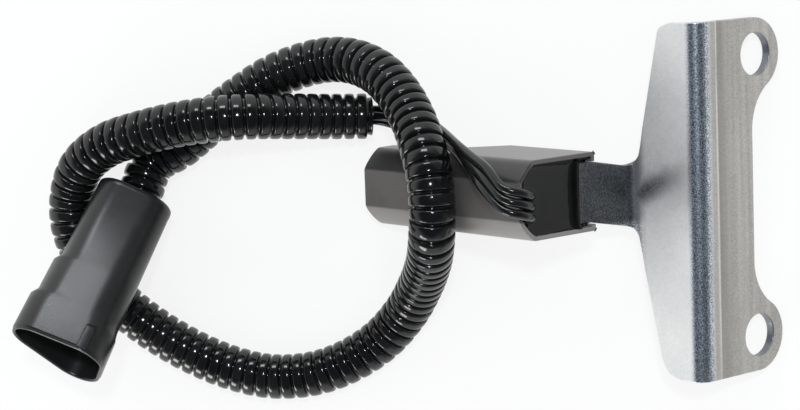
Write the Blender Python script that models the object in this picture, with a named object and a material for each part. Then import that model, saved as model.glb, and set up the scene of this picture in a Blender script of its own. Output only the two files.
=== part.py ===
# Crankshaft position sensor with bracket, corrugated conduit and three-way connector, lying on a bench.
# Metres, +Z up. Origin: on the bench, below the middle of the rigid sensor and its bracket.
import bmesh
import bpy
import numpy as np
from math import asin, atan2, cos, hypot, pi, radians, sin
from mathutils import Euler, Matrix, Vector

MM = 0.001
CLEARANCE = 0.3 * MM          # gap between pieces that touch
FACETS = 32                   # round pieces
ARC_STEPS = 6                 # steps in each rounded corner of an outline

# Sensor body, in its own frame: x out of the cable end, y away from the front face, z across
SHELL_LENGTH = 49.0 * MM
SHELL_DEPTH = 23.2 * MM
SHELL_WIDTH = 17.2 * MM
SHELL_WALL = 1.3 * MM
DEEP_LENGTH = 25.0 * MM       # full depth part, from the cable end
SHOULDER_RUN = 9.0 * MM       # length of the slope down to the nose
NOSE_DEPTH = 11.6 * MM
NOSE_ROUND = 3.0 * MM
FRONT_EDGE_ROUND = 5.0 * MM
BACK_EDGE_ROUND = 0.7 * MM

# Potting that fills the mouth
POTTING_TOP = 0.6 * MM        # below the shell's rim
POTTING_LENGTH = 11.4 * MM

# Bracket: one folded strip of sheet
SHEET = 2.0 * MM
STRAP_FACE = -1.5 * MM        # outer face of the strap, measured from the rim
STRAP_HALF_WIDTH = 6.7 * MM
STRAP_MIDDLE = -0.3 * MM
STRAP_END_MIDDLE = -2.3 * MM  # the strap runs slightly askew from the rim to the valley
STRAP_FOOT_ROUND = 4.0 * MM
STRAP_EMBEDDED = 13.1 * MM    # length of strap inside the shell
VALLEY_FACE = 25.2 * MM       # face of the first flange that looks at the body
BEND_ROUND = 3.0 * MM         # outer radius at the ridge and inner radius at the valley
EAR_FACE = 17.6 * MM          # outer face of the second flange
BRACKET_MIDDLE = -3.4 * MM    # across the body
FLANGE_START_HALF = 11.1 * MM  # where the slope's line meets the valley bend
FLANGE_START = 0.3 * MM
FLANGE_SLOPE_END = 5.9 * MM
FLANGE_END_HALF = 35.0 * MM
FLANGE_CORNER = 2.0 * MM
FLANGE_LOW_CORNER = 7.6 * MM
FLANGE_TOP_CORNER = 6.6 * MM
FLANGE_CORNER_DROP = 1.1 * MM  # of the corner from the bracket's end
FLANGE_CORNER_RUN = 4.0 * MM
BOLT_HOLE = 9.4 * MM
BOLT_ROW = 44.4 * MM          # from the body's axis to the line of holes
BOLT_SPACING = 62.0 * MM
EAR_ROUND = 8.0 * MM
BRACKET_HALF_HEIGHT = BOLT_SPACING / 2 + EAR_ROUND
WAIST = 43.2 * MM             # edge between the two ears
WAIST_ROUND = 11.5 * MM

# Parts inside the shell
CHIP_SIZE = (1.5 * MM, 6.0 * MM, 5.0 * MM)
MAGNET_DIAMETER = 8.0 * MM
MAGNET_LENGTH = 6.0 * MM
BOARD_THICKNESS = 1.0 * MM
BOARD_WIDTH = 11.0 * MM
PIN_SIDE = 0.6 * MM
PIN_LENGTH = 9.0 * MM
PIN_PITCH = 2.3 * MM

# Leads
LEAD_DIAMETER = 2.0 * MM
LEAD_EXIT = -8.0 * MM         # place in the mouth, towards the front face
LEAD_MIDDLE = -1.4 * MM
LEAD_PITCH = 2.3 * MM
LEAD_SIDE = Vector((0.40, 0.92, 0.0)).normalized()
LEAD_BEND = [(-0.2, 0.0), (1.4, 0.0), (3.2, 0.6), (4.9, 2.0), (5.6, 4.2)]   # out of the potting, and forward

# Conduit
LOOM_DIAMETER = 10.2 * MM
LOOM_STEP = 8.0 * MM
LEAD_STEP = 3.0 * MM
LOOM_IN_HOOD = (-0.6 * MM, 0.3 * MM)   # across and up, where the conduit sits in the hood

# Connector, in its own frame: x across, y from the hood to the mouth, z up through its thickness
CONNECTOR_PLACE = Vector((-98.2, 1.9, 8.5)) * MM
CONNECTOR_RISE = radians(33.8)
CONNECTOR_HEADING = radians(155.9)
CONNECTOR_LENGTH = 40.3 * MM
HOOD_DEPTH = 14.0 * MM
SOCKET_DEPTH = 17.0 * MM
CONNECTOR_WALL = 1.0 * MM
# each outline is the band round three circles: (across, up, radius)
HOOD_CIRCLES = [(2.9, 1.3, 5.9), (-3.1, 1.0, 5.7), (-2.4, -1.6, 5.7)]
MOUTH_CIRCLES = [(2.8, 2.4, 6.6), (-3.8, 3.3, 6.3), (-2.8, -3.7, 6.3)]
LEFT_STEPS = (20.0 * MM, 29.5 * MM)
LEFT_STEP_OUT = 1.1 * MM
RIGHT_STEP = 31.8 * MM
RIGHT_STEP_OUT = 0.5 * MM
STEP_RUN = 1.7 * MM
CONTACT_PITCH = 4.7 * MM
CONTACT_WIDTH = 1.6 * MM
CONTACT_THICKNESS = 0.8 * MM
CONTACT_REACH = 7.0 * MM      # out of the lock plate
SEAL_DIAMETER = 3.6 * MM
SEAL_LENGTH = 5.8 * MM
LOCK_DEPTH = 3.6 * MM
KEY_LENGTH = 6.2 * MM
KEY_WIDTH = 2.6 * MM
KEY_HEIGHT = 1.0 * MM
KEY_PLACE = -4.6 * MM         # across, towards the narrow side

# Route of the conduit's centre line, from inside the hood to its free end, in millimetres
LOOM_ROUTE = [
    (-94.7, 9.4, 5.6), (-88.2, 13.2, 5.2), (-82.0, 18.0, 5.2), (-74.5, 23.4, 5.2), (-65.3, 28.8, 5.2),
    (-55.7, 31.7, 5.3), (-48.0, 31.8, 7.8), (-41.5, 29.5, 11.7), (-36.8, 25.5, 15.7), (-33.2, 20.6, 20.2),
    (-30.6, 15.4, 25.2), (-28.7, 9.4, 29.1), (-28.0, 3.4, 30.6), (-28.2, -2.4, 29.9), (-29.0, -7.2, 26.4),
    (-30.6, -12.2, 20.0), (-33.6, -18.4, 12.4), (-37.8, -25.2, 7.4), (-43.9, -31.8, 5.3), (-51.6, -36.6, 5.2),
    (-60.0, -39.4, 5.2), (-69.5, -39.9, 5.2), (-78.7, -37.8, 5.2), (-87.5, -34.0, 5.2), (-95.8, -29.0, 5.2),
    (-102.9, -23.3, 5.4), (-108.0, -17.4, 5.6), (-111.7, -10.8, 6.0), (-113.6, -3.8, 7.0),
    (-113.1, 3.4, 7.6), (-109.9, 9.9, 9.5), (-103.2, 14.7, 12.4), (-94.8, 17.4, 15.2), (-86.2, 19.3, 16.4),
    (-78.4, 20.3, 16.6), (-69.8, 20.6, 15.2), (-61.2, 20.1, 11.6), (-52.4, 19.5, 8.0), (-43.9, 19.2, 6.0),
]

# Middle of the three leads beyond the mouth: place, spread to each side, rise of the middle lead
LEAD_ROUTE = [
    (-7.6, 4.0, 41.6, 2.3, 0.0), (-10.6, 6.2, 40.0, 2.3, 0.0), (-14.2, 8.8, 37.4, 2.3, 0.0),
    (-18.2, 11.6, 33.2, 2.3, 0.0), (-21.6, 13.8, 27.6, 2.4, 0.0), (-24.7, 15.2, 20.7, 2.5, 0.0),
    (-28.2, 16.2, 15.0, 2.5, 0.3), (-32.4, 16.9, 11.0, 2.1, 1.3), (-37.2, 18.2, 7.6, 1.5, 2.1),
    (-40.6, 19.0, 5.9, 1.3, 2.2), (-42.8, 19.2, 5.4, 1.25, 2.2),
]


def body_tilt():
    """The body lies on its nose's rounded corner and on the ears' back edge: angle and height."""
    ear = (EAR_FACE - SHEET, BOLT_ROW + EAR_ROUND)
    centre = (-SHELL_LENGTH + NOSE_ROUND, NOSE_DEPTH - SHELL_DEPTH / 2 - NOSE_ROUND)
    run, rise = ear[0] - centre[0], ear[1] - centre[1]
    tilt = atan2(rise, run) - asin(NOSE_ROUND / hypot(run, rise))
    return tilt, ear[1] * cos(tilt) - ear[0] * sin(tilt)


def frame_empty(name, place, turn):
    empty = bpy.data.objects.new(name, None)
    empty.location = place
    empty.rotation_euler = turn
    bpy.context.collection.objects.link(empty)
    return empty


def material(name, colour, roughness, metallic=0.0):
    made = bpy.data.materials.new(name)
    made.use_nodes = True
    shader = made.node_tree.nodes["Principled BSDF"]
    shader.inputs["Base Color"].default_value = (*colour, 1.0)
    shader.inputs["Roughness"].default_value = roughness
    shader.inputs["Metallic"].default_value = metallic
    return made


def add_object(name, mesh, parent=None, look=None, smooth=True):
    piece = bpy.data.objects.new(name, mesh)
    bpy.context.collection.objects.link(piece)
    piece.parent = parent
    if look is not None:
        mesh.materials.append(look)
    if smooth:
        mesh.shade_smooth()
        mesh.set_sharp_from_angle(angle=radians(35))
    return piece


def mesh_from(work, name):
    bmesh.ops.recalc_face_normals(work, faces=work.faces)
    mesh = bpy.data.meshes.new(name)
    work.to_mesh(mesh)
    work.free()
    return mesh


def round_corner(before, corner, after, radius, steps=ARC_STEPS):
    """Points of the arc that rounds a corner of an outline."""
    to_before = (Vector(before) - Vector(corner)).normalized()
    to_after = (Vector(after) - Vector(corner)).normalized()
    half = to_before.angle(to_after) / 2
    reach = radius / np.tan(half)
    centre = Vector(corner) + (to_before + to_after).normalized() * radius / sin(half)
    first = Vector(corner) + to_before * reach - centre
    last = Vector(corner) + to_after * reach - centre
    sweep = atan2(first.x * last.y - first.y * last.x, first.dot(last))
    start = atan2(first.y, first.x)
    angles = [start + sweep * i / steps for i in range(steps + 1)]
    return [(centre.x + radius * cos(angle), centre.y + radius * sin(angle)) for angle in angles]


def rounded_outline(corners, steps=ARC_STEPS):
    """Outline from (x, y, radius) corners."""
    points = []
    count = len(corners)
    for i, (x, y, radius) in enumerate(corners):
        if radius <= 0:
            points.append((x, y))
            continue
        points += round_corner(corners[i - 1][:2], (x, y), corners[(i + 1) % count][:2], radius, steps)
    return points


def prism(outline, low, high, place=lambda a, b, c: (a, b, c)):
    """Solid between two copies of an outline."""
    work = bmesh.new()
    base = work.faces.new([work.verts.new(place(a, b, low)) for a, b in outline])
    grown = bmesh.ops.extrude_face_region(work, geom=[base])
    lift = Vector(place(0, 0, high)) - Vector(place(0, 0, low))
    bmesh.ops.translate(work, vec=lift, verts=[v for v in grown["geom"] if isinstance(v, bmesh.types.BMVert)])
    return work


def box(low, high):
    work = bmesh.new()
    bmesh.ops.create_cube(work, size=1.0)
    size = Vector(high) - Vector(low)
    bmesh.ops.scale(work, vec=size, verts=work.verts)
    bmesh.ops.translate(work, vec=(Vector(high) + Vector(low)) / 2, verts=work.verts)
    return work


def cylinder(radius, low, high, axis, at, facets=FACETS):
    """Cylinder along a frame axis (0, 1 or 2) from low to high, at the other two coordinates."""
    work = bmesh.new()
    length = high - low
    bmesh.ops.create_cone(work, cap_ends=True, segments=facets, radius1=radius, radius2=radius, depth=length)
    bmesh.ops.translate(work, vec=(0, 0, (low + high) / 2), verts=work.verts)
    turns = {0: Matrix.Rotation(pi / 2, 3, "Y"), 1: Matrix.Rotation(-pi / 2, 3, "X"), 2: Matrix.Identity(3)}
    bmesh.ops.rotate(work, cent=(0, 0, 0), matrix=turns[axis], verts=work.verts)
    move = {0: (0, *at), 1: (at[0], 0, at[1]), 2: (*at, 0)}[axis]
    bmesh.ops.translate(work, vec=move, verts=work.verts)
    return work


def cutter(name, work, parent):
    tool = add_object(name, mesh_from(work, name), parent, smooth=False)
    tool.hide_render = True
    tool.display_type = "WIRE"
    return tool


def cut(piece, tool, operation="DIFFERENCE"):
    modifier = piece.modifiers.new(tool.name, "BOOLEAN")
    modifier.operation = operation
    modifier.solver = "EXACT"
    modifier.object = tool


def bevel_edges(work, radius, steps, chosen):
    edges = [edge for edge in work.edges if chosen(edge)]
    bmesh.ops.bevel(work, geom=edges, offset=radius, segments=steps, profile=0.5, affect="EDGES", material=-1)


def shell_outline(inset=0.0):
    """Side view of the body, or of the cavity with its wall taken off."""
    front = -SHELL_DEPTH / 2 + inset
    back = SHELL_DEPTH / 2 - inset
    tip = -SHELL_LENGTH + inset
    nose_back = NOSE_DEPTH - SHELL_DEPTH / 2 - inset
    slope = atan2(back - nose_back, SHOULDER_RUN)
    shift = inset * np.tan(slope / 2)
    rim = CLEARANCE * 4 if inset else 0.0
    shoulder = -DEEP_LENGTH - shift
    return [
        (rim, front, 0), (tip, front, 0), (tip, nose_back, max(NOSE_ROUND - inset, MM)),
        (shoulder - SHOULDER_RUN, nose_back, 0), (shoulder, back, 0), (rim, back, 0),
    ]


def along_front(edge, half_width, front):
    """The two long edges at the front face."""
    return all(abs(v.co.y - front) < 1e-6 and abs(abs(v.co.z) - half_width) < 1e-6 for v in edge.verts)


def shell_solid(inset, front_round, back_round):
    half = SHELL_WIDTH / 2 - inset
    work = prism(rounded_outline(shell_outline(inset), 4), -half, half)
    front = -SHELL_DEPTH / 2 + inset
    bevel_edges(work, front_round, 5, lambda edge: along_front(edge, half, front) and abs(
        edge.verts[0].co.x - edge.verts[1].co.x) > MM)
    if back_round:
        rim = -0.5 * MM
        bevel_edges(work, back_round, 2, lambda edge: all(
            abs(abs(v.co.z) - half) < 1e-6 and v.co.y > front + front_round + MM for v in edge.verts)
            and any(v.co.x < rim for v in edge.verts))
    return work


def sensor_shell(parent):
    look = material("shell_black", (0.030, 0.028, 0.027), 0.42)
    solid = shell_solid(0.0, FRONT_EDGE_ROUND, BACK_EDGE_ROUND)
    shell = add_object("sensor_shell", mesh_from(solid, "sensor_shell"), parent, look)
    cavity = cutter("shell_cavity", shell_solid(SHELL_WALL, FRONT_EDGE_ROUND - SHELL_WALL, 0.0), parent)
    cut(shell, cavity)
    notch_low = STRAP_MIDDLE - STRAP_HALF_WIDTH - CLEARANCE
    notch_high = STRAP_MIDDLE + STRAP_HALF_WIDTH + CLEARANCE
    notch_inner = SHELL_DEPTH / 2 - SHELL_WALL - MM
    notch_outer = SHELL_DEPTH / 2 + MM
    notch_solid = box((STRAP_FACE - SHEET - CLEARANCE, notch_inner, notch_low), (MM, notch_outer, notch_high))
    cut(shell, cutter("strap_notch", notch_solid, parent))
    return shell


def potting(parent):
    look = material("potting_black", (0.012, 0.012, 0.014), 0.10)
    gap = SHELL_WALL + CLEARANCE
    half = SHELL_WIDTH / 2 - gap
    front, back = -SHELL_DEPTH / 2 + gap, SHELL_DEPTH / 2 - gap
    corner = FRONT_EDGE_ROUND - gap
    corners = [(front, -half, corner), (back, -half, 0), (back, half, 0), (front, half, corner)]
    outline = rounded_outline(corners, 5)
    bottom = -POTTING_TOP - POTTING_LENGTH
    work = prism(outline, bottom, -POTTING_TOP, lambda y, z, x: (x, y, z))
    piece = add_object("potting", mesh_from(work, "potting"), parent, look)
    reach = SHELL_DEPTH / 2 - STRAP_EMBEDDED - CLEARANCE
    pocket = cutter("strap_pocket", box((STRAP_FACE - SHEET - CLEARANCE, reach, -SHELL_WIDTH / 2),
                                        (STRAP_FACE + CLEARANCE, SHELL_DEPTH / 2, SHELL_WIDTH / 2)), parent)
    cut(piece, pocket)
    return piece


def sheet_section(along):
    """Front and back points of the folded sheet at a length along it, measured from the valley bend's start."""
    inner, thin = BEND_ROUND, BEND_ROUND - SHEET
    valley = Vector((STRAP_FACE + inner, VALLEY_FACE - inner))
    ridge = Vector((EAR_FACE - inner, VALLEY_FACE + inner))
    valley_length = (inner + SHEET / 2) * pi / 2
    flange_length = ridge.x - valley.x
    ridge_length = (thin + SHEET / 2) * pi / 2
    if along <= 0:
        return (STRAP_FACE, valley.y + along), (STRAP_FACE - SHEET, valley.y + along)
    if along < valley_length:
        angle = along / valley_length * pi / 2
        out = Vector((-cos(angle), sin(angle)))
        return valley + out * inner, valley + out * (inner + SHEET)
    along -= valley_length
    if along <= flange_length:
        return (valley.x + along, VALLEY_FACE), (valley.x + along, VALLEY_FACE + SHEET)
    along -= flange_length
    if along < ridge_length:
        angle = along / ridge_length * pi / 2
        out = Vector((sin(angle), -cos(angle)))
        return ridge + out * inner, ridge + out * thin
    along -= ridge_length
    return (EAR_FACE, ridge.y + along), (EAR_FACE - SHEET, ridge.y + along)


def sheet_edge(side):
    """One long edge of the flat sheet, as (length along it, place across it)."""
    valley_length = (BEND_ROUND + SHEET / 2) * pi / 2
    to_x = valley_length - STRAP_FACE - BEND_ROUND
    rim = SHELL_DEPTH / 2 - VALLEY_FACE + BEND_ROUND
    start = STRAP_MIDDLE + side * STRAP_HALF_WIDTH
    foot = STRAP_END_MIDDLE + side * STRAP_HALF_WIDTH
    slope_start = Vector((FLANGE_START + to_x, BRACKET_MIDDLE + side * FLANGE_START_HALF))
    slope_end = Vector((FLANGE_SLOPE_END + to_x, BRACKET_MIDDLE + side * FLANGE_END_HALF))
    slope = (slope_end - slope_start) / (slope_end.x - slope_start.x)
    strap = (foot - start) / -rim
    meet = (slope_start.y - slope.y * slope_start.x - foot) / (strap - slope.y)
    corner = FLANGE_LOW_CORNER if side < 0 else FLANGE_TOP_CORNER
    drop = BRACKET_MIDDLE + side * (BRACKET_HALF_HEIGHT - FLANGE_CORNER_DROP)
    end = BRACKET_MIDDLE + side * (BRACKET_HALF_HEIGHT + MM / 4)
    corners = [
        (SHELL_DEPTH / 2 - STRAP_EMBEDDED - VALLEY_FACE + BEND_ROUND, start, 0), (rim, start, 0),
        (meet, foot + strap * meet, STRAP_FOOT_ROUND), (*slope_end, FLANGE_CORNER),
        (corner + to_x, drop, FLANGE_CORNER), (corner + FLANGE_CORNER_RUN + to_x, end, 0),
        (SHELL_LENGTH * 2, end, 0),
    ]
    points = [corners[0][:2]]
    for before, here, after in zip(corners, corners[1:], corners[2:]):
        if here[2]:
            points += round_corner(before[:2], here[:2], after[:2], here[2])
        else:
            points.append(here[:2])
    return points + [corners[-1][:2]]


def folded_sheet():
    """Solid through the sheet's sections, with its two long edges trimmed."""
    valley_length = (BEND_ROUND + SHEET / 2) * pi / 2
    ridge_length = (BEND_ROUND - SHEET / 2) * pi / 2
    ridge_start = valley_length + EAR_FACE - STRAP_FACE - 2 * BEND_ROUND
    steps = 8
    low, high = sheet_edge(-1), sheet_edge(1)
    stops = [along for along, across in low + high if along < ridge_start]
    stops += [valley_length * i / steps for i in range(steps + 1)]
    stops += [ridge_start + ridge_length * i / steps for i in range(steps + 1)]
    stops.append(ridge_start + ridge_length + BOLT_ROW + EAR_ROUND - VALLEY_FACE - BEND_ROUND)
    kept = []
    for stop in sorted(stops):
        if not kept or stop - kept[-1] > MM / 10:
            kept.append(stop)
    work = bmesh.new()
    rings = []
    for along in kept:
        front, back = sheet_section(along)
        bottom, top = (float(np.interp(along, *zip(*edge))) for edge in (low, high))
        rings.append([work.verts.new((*point, across)) for point, across in (
            (front, bottom), (front, top), (back, top), (back, bottom))])
    for ring, following in zip(rings, rings[1:]):
        for i in range(4):
            work.faces.new((ring[i - 1], ring[i], following[i], following[i - 1]))
    work.faces.new(rings[0])
    work.faces.new(rings[-1])
    return work


def ear_outline():
    """Second flange seen from the cable end: y away from the body, z across, two ears round a waist."""
    row = BOLT_SPACING / 2
    middle = WAIST + WAIST_ROUND
    drop = middle - BOLT_ROW
    across = ((EAR_ROUND + WAIST_ROUND) ** 2 - drop ** 2) ** 0.5
    meet = atan2(across, drop)
    steps = 2 * ARC_STEPS
    dip = [meet * i / ARC_STEPS for i in range(ARC_STEPS)]
    ear = [-meet + (pi / 2 + meet) * i / steps for i in range(steps + 1)]
    side = [(middle - WAIST_ROUND * cos(a), row - across + WAIST_ROUND * sin(a)) for a in dip]
    side += [(BOLT_ROW + EAR_ROUND * cos(a), row + EAR_ROUND * sin(a)) for a in ear]
    side.append((-SHELL_DEPTH, BRACKET_HALF_HEIGHT))
    mirrored = [(y, -z) for y, z in reversed(side)]
    return [(y, BRACKET_MIDDLE + z) for y, z in side + mirrored]


def bracket(parent):
    look = material("zinc_plate", (0.60, 0.61, 0.60), 0.34, 1.0)
    piece = add_object("bracket", mesh_from(folded_sheet(), "bracket"), parent, look)
    ears = prism(ear_outline(), -SHELL_LENGTH, EAR_FACE + MM, lambda y, z, x: (x, y, z))
    cut(piece, cutter("ear_blank", ears, parent), "INTERSECT")
    for side, name in ((1, "upper_hole"), (-1, "lower_hole")):
        place = (BOLT_ROW, BRACKET_MIDDLE + side * BOLT_SPACING / 2)
        hole = cylinder(BOLT_HOLE / 2, EAR_FACE - 2 * SHEET, EAR_FACE + SHEET, 0, place)
        cut(piece, cutter(name, hole, parent))
    return piece


def inner_pieces(parent):
    """Chip, magnet and board with its pins, one behind the other in the nose."""
    middle = (NOSE_DEPTH - SHELL_DEPTH) / 2
    chip_low = -SHELL_LENGTH + SHELL_WALL + CLEARANCE
    chip_high = chip_low + CHIP_SIZE[0]
    high, wide = CHIP_SIZE[1] / 2, CHIP_SIZE[2] / 2
    chip = box((chip_low, middle - high, -wide), (chip_high, middle + high, wide))
    chip_look = material("chip_black", (0.02, 0.02, 0.02), 0.5)
    add_object("sensing_chip", mesh_from(chip, "sensing_chip"), parent, chip_look, False)
    magnet_low = chip_high + CLEARANCE
    magnet_high = magnet_low + MAGNET_LENGTH
    magnet = cylinder(MAGNET_DIAMETER / 2, magnet_low, magnet_high, 0, (middle, 0))
    magnet_look = material("magnet_grey", (0.45, 0.45, 0.46), 0.3, 1.0)
    add_object("magnet", mesh_from(magnet, "magnet"), parent, magnet_look)
    board_low = magnet_high + CLEARANCE
    board_high = -POTTING_TOP - POTTING_LENGTH - CLEARANCE
    high, wide = BOARD_THICKNESS / 2, BOARD_WIDTH / 2
    board = box((board_low, middle - high, -wide), (board_high, middle + high, wide))
    board_look = material("board_green", (0.02, 0.16, 0.06), 0.45)
    add_object("circuit_board", mesh_from(board, "circuit_board"), parent, board_look, False)
    look = material("tinned_pin", (0.72, 0.72, 0.70), 0.25, 1.0)
    seat = middle - BOARD_THICKNESS / 2 - CLEARANCE
    for number in range(3):
        across = (number - 1) * PIN_PITCH
        low, high = across - PIN_SIDE / 2, across + PIN_SIDE / 2
        pin = box((board_high - PIN_LENGTH, seat - PIN_SIDE, low), (board_high, seat, high))
        name = f"board_pin_{number + 1}"
        add_object(name, mesh_from(pin, name), parent, look, False)


def smooth_route(points, step):
    """Evenly spaced points on a smooth curve through the route."""
    route = [np.array(point, float) for point in points]
    route = [2 * route[0] - route[1], *route, 2 * route[-1] - route[-2]]
    dense = []
    for a, b, c, d in zip(route, route[1:], route[2:], route[3:]):
        for t in np.linspace(0, 1, 12, endpoint=False):
            square = (2 * a - 5 * b + 4 * c - d) * t ** 2
            cube = (3 * b - a - 3 * c + d) * t ** 3
            dense.append((2 * b + (c - a) * t + square + cube) / 2)
    dense = np.array(dense + [route[-2]])
    along = np.concatenate([[0], np.cumsum(np.linalg.norm(np.diff(dense, axis=0), axis=1))])
    even = np.linspace(0, along[-1], max(3, round(along[-1] / step) + 1))
    return np.column_stack([np.interp(even, along, dense[:, axis]) for axis in range(3)])


def cord(name, points, diameter, look, rings):
    line = bpy.data.curves.new(name, "CURVE")
    line.dimensions = "3D"
    line.bevel_depth = diameter / 2
    line.bevel_resolution = rings
    line.use_fill_caps = True
    spline = line.splines.new("POLY")
    spline.points.add(len(points) - 1)
    for point, place in zip(spline.points, points):
        point.co = (*place, 1.0)
    line.materials.append(look)
    piece = bpy.data.objects.new(name, line)
    bpy.context.collection.objects.link(piece)
    return piece


def loom(connector_frame):
    look = material("conduit_black", (0.012, 0.012, 0.012), 0.16)
    across, up = LOOM_IN_HOOD
    inside = [HOOD_DEPTH - CLEARANCE, HOOD_DEPTH / 2, 0.0]
    start = [connector_frame @ Vector((across, y, up)) for y in inside]
    route = start + [Vector(place) * MM for place in LOOM_ROUTE]
    return cord("loom", smooth_route(route, LOOM_STEP), LOOM_DIAMETER, look, 3)


def leads(sensor_frame):
    """Three wires side by side from the potting, back over the shell and down into the conduit."""
    look = material("lead_black", (0.010, 0.010, 0.010), 0.2)
    side = LEAD_SIDE * MM
    for number in range(3):
        offset = 1 - number
        across = LEAD_MIDDLE + offset * LEAD_PITCH
        bend = [sensor_frame @ Vector((x * MM, LEAD_EXIT - fold * MM, across)) for x, fold in LEAD_BEND]
        raised = 1 - abs(offset)
        route = [Vector((x, y, z + rise * raised)) * MM + side * offset * spread
                 for x, y, z, spread, rise in LEAD_ROUTE]
        cord(f"lead_{number + 1}", smooth_route(bend + route, LEAD_STEP), LEAD_DIAMETER, look, 2)


def band_outline(circles, steps):
    """Outline of a band stretched round three circles, counter-clockwise."""
    points = []
    count = len(circles)
    lean = []
    for i, (x, z, radius) in enumerate(circles):
        x2, z2, radius2 = circles[(i + 1) % count]
        run, rise = x2 - x, z2 - z
        lean.append(atan2(rise, run) - pi / 2 + asin((radius - radius2) / hypot(run, rise)) * -1)
    for i, (x, z, radius) in enumerate(circles):
        start, end = lean[i - 1], lean[i]
        while end < start:
            end += 2 * pi
        for j in range(steps + 1):
            angle = start + (end - start) * j / steps
            points.append((x + radius * cos(angle), z + radius * sin(angle)))
    return points


def connector_circles(y, inset):
    """The three circles at a place along the connector, with the steps on its two narrow sides."""
    share = min(max(y / CONNECTOR_LENGTH, 0), 1)
    out = sum(LEFT_STEP_OUT * min(max((y - place) / STEP_RUN, 0), 1) for place in LEFT_STEPS)
    right = RIGHT_STEP_OUT * min(max((y - RIGHT_STEP) / STEP_RUN, 0), 1)
    made = []
    for i, (hood, mouth) in enumerate(zip(HOOD_CIRCLES, MOUTH_CIRCLES)):
        x, z, radius = ((a + (b - a) * share) * MM for a, b in zip(hood, mouth))
        made.append((x + out if i == 0 else x - right, z, radius - inset))
    return made


def loft(stations, inset):
    """Solid through the connector's outlines at the given stations."""
    work = bmesh.new()
    rings = []
    for y in stations:
        outline = band_outline(connector_circles(y, inset), 8)
        rings.append([work.verts.new((x, y, z)) for x, z in outline])
    for ring, following in zip(rings, rings[1:]):
        for i in range(len(ring)):
            work.faces.new((ring[i - 1], ring[i], following[i], following[i - 1]))
    work.faces.new(rings[0])
    work.faces.new(rings[-1])
    return work


def contact_places():
    return [(number - 1) * CONTACT_PITCH for number in range(3)]


def connector_body(parent):
    look = material("connector_black", (0.022, 0.022, 0.024), 0.45)
    steps = [LEFT_STEPS[0], LEFT_STEPS[0] + STEP_RUN, LEFT_STEPS[1], LEFT_STEPS[1] + STEP_RUN,
             RIGHT_STEP, RIGHT_STEP + STEP_RUN]
    solid = loft([0.0, *steps, CONNECTOR_LENGTH], 0.0)
    piece = add_object("connector_body", mesh_from(solid, "connector_body"), parent, look)
    key_top = MOUTH_CIRCLES[1][1] * MM + MOUTH_CIRCLES[1][2] * MM + KEY_HEIGHT / 2
    key = box((KEY_PLACE - KEY_WIDTH / 2, CONNECTOR_LENGTH - MM - KEY_LENGTH, 0.0),
              (KEY_PLACE + KEY_WIDTH / 2, CONNECTOR_LENGTH - MM, key_top))
    bevel_edges(key, KEY_HEIGHT * 0.8, 2, lambda edge: all(
        v.co.z > key_top - MM / 10 and v.co.y < CONNECTOR_LENGTH - KEY_LENGTH for v in edge.verts))
    cut(piece, cutter("key_rib", key, parent), "UNION")
    hood = cutter("hood_cavity", loft([-MM, HOOD_DEPTH], CONNECTOR_WALL), parent)
    cut(piece, hood)
    floor = CONNECTOR_LENGTH - SOCKET_DEPTH
    socket = cutter("socket_cavity", loft([floor, *steps[2:], CONNECTOR_LENGTH + MM], CONNECTOR_WALL), parent)
    cut(piece, socket)
    seal_end = HOOD_DEPTH + SEAL_LENGTH + 2 * CLEARANCE
    for number, across in enumerate(contact_places(), 1):
        bore = cylinder(SEAL_DIAMETER / 2 + CLEARANCE, HOOD_DEPTH - MM, seal_end, 1, (across, 0.0), 20)
        cut(piece, cutter(f"seal_bore_{number}", bore, parent))
        slot = contact_box(across, seal_end - MM, floor + MM, CLEARANCE)
        cut(piece, cutter(f"contact_slot_{number}", slot, parent))
    return piece


def contact_box(across, low, high, gap=0.0):
    half_width = CONTACT_WIDTH / 2 + gap
    half_height = CONTACT_THICKNESS / 2 + gap
    return box((across - half_width, low, -half_height), (across + half_width, high, half_height))


def connector_pieces(parent):
    floor = CONNECTOR_LENGTH - SOCKET_DEPTH
    lock_low = floor + CLEARANCE
    lock_high = lock_low + LOCK_DEPTH
    lock_look = material("lock_grey", (0.05, 0.05, 0.055), 0.5)
    plate = loft([lock_low, lock_high], CONNECTOR_WALL + CLEARANCE)
    lock = add_object("terminal_lock", mesh_from(plate, "terminal_lock"), parent, lock_look)
    pin_look = material("contact_tin", (0.70, 0.69, 0.66), 0.25, 1.0)
    seal_look = material("seal_rubber", (0.10, 0.03, 0.02), 0.7)
    seal_low = HOOD_DEPTH + CLEARANCE
    for number, across in enumerate(contact_places(), 1):
        slot = contact_box(across, floor - MM, lock_high + MM, CLEARANCE)
        cut(lock, cutter(f"lock_slot_{number}", slot, parent))
        seal = cylinder(SEAL_DIAMETER / 2, seal_low, seal_low + SEAL_LENGTH, 1, (across, 0.0), 16)
        name = f"cable_seal_{number}"
        add_object(name, mesh_from(seal, name), parent, seal_look)
        tip = lock_high + CONTACT_REACH
        blade = contact_box(across, seal_low + SEAL_LENGTH + CLEARANCE, tip)
        end = tip - MM / 10
        bevel_edges(blade, CONTACT_THICKNESS / 3, 1, lambda edge: min(v.co.y for v in edge.verts) > end)
        name = f"contact_pin_{number}"
        add_object(name, mesh_from(blade, name), parent, pin_look, False)


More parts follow.
